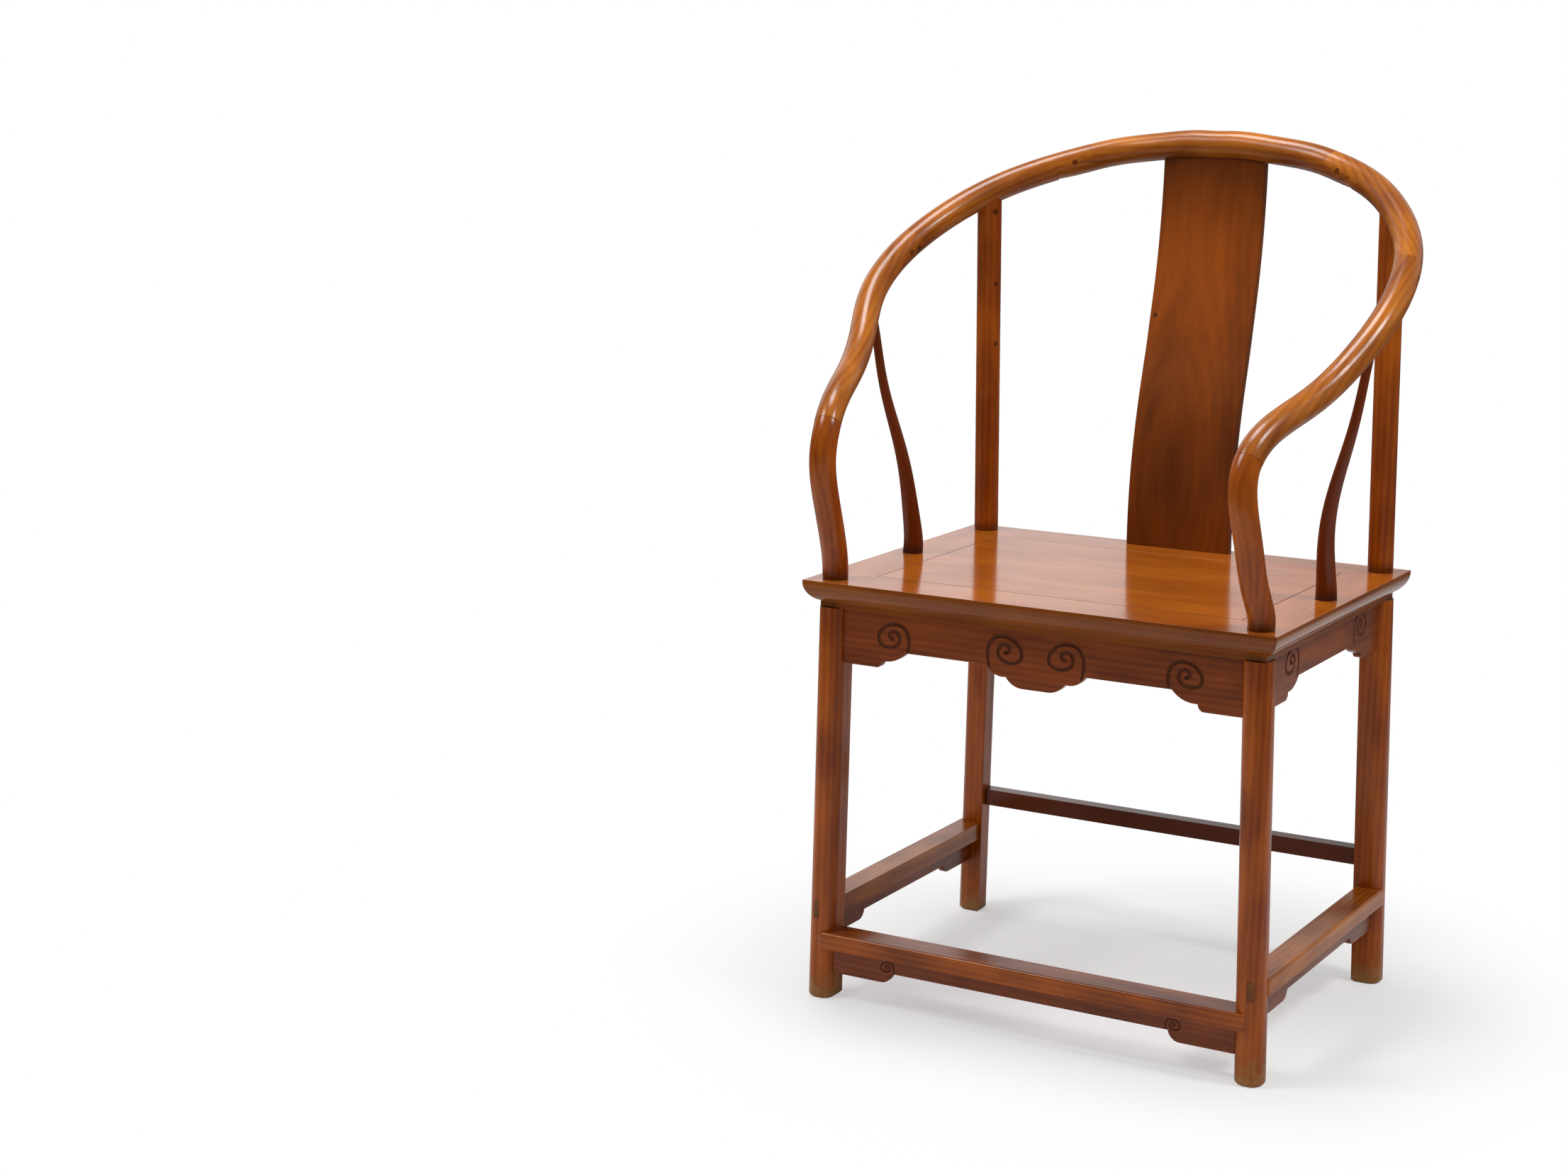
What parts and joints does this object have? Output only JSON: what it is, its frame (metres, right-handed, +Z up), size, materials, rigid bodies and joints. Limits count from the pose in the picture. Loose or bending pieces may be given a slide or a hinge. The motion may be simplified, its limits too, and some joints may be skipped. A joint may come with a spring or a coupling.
{
  "type": "horseshoe back armchair",
  "caption": "Joined hardwood armchair: a round horseshoe rail sweeps down into the arms over a curved splat, a panelled seat, scroll-carved aprons and a footrest.",
  "frame": {"origin": "on the floor, under the middle of the overall box", "axes": "+Z up, -Y towards the front of the seat, +X to the right as seen from the front"},
  "size_m": [0.65, 0.535, 0.9814],
  "materials": {
    "rail": "polished, waxed",
    "posts": "polished, waxed",
    "splat": "polished, waxed",
    "seat_frame": "polished, waxed",
    "seat_panel": "polished, waxed",
    "aprons": "polished, waxed",
    "stretchers": "polished, waxed",
    "pins": "polished, waxed"
  },
  "bodies": {
    "root": {"crest_rail_centre": "rail", "crest_rail_shoulder_left": "rail", "crest_rail_shoulder_right": "rail", "arm_left": "rail", "arm_right": "rail", "front_leg_left": "posts", "front_leg_right": "posts", "back_leg_left": "posts", "back_leg_right": "posts", "side_post_left": "posts", "side_post_right": "posts", "back_splat": "splat", "seat_member_front": "seat_frame", "seat_member_back": "seat_frame", "seat_member_left": "seat_frame", "seat_member_right": "seat_frame", "seat_braces": "seat_frame", "seat_panel": "seat_panel", "front_apron": "aprons", "back_apron": "aprons", "side_apron_left": "aprons", "side_apron_right": "aprons", "footrest_apron": "aprons", "lower_apron_left": "aprons", "lower_apron_right": "aprons", "footrest": "stretchers", "side_stretcher_left": "stretchers", "side_stretcher_right": "stretchers", "back_stretcher": "stretchers", "rail_wedge_pins": "pins"}
  },
  "joints": []
}
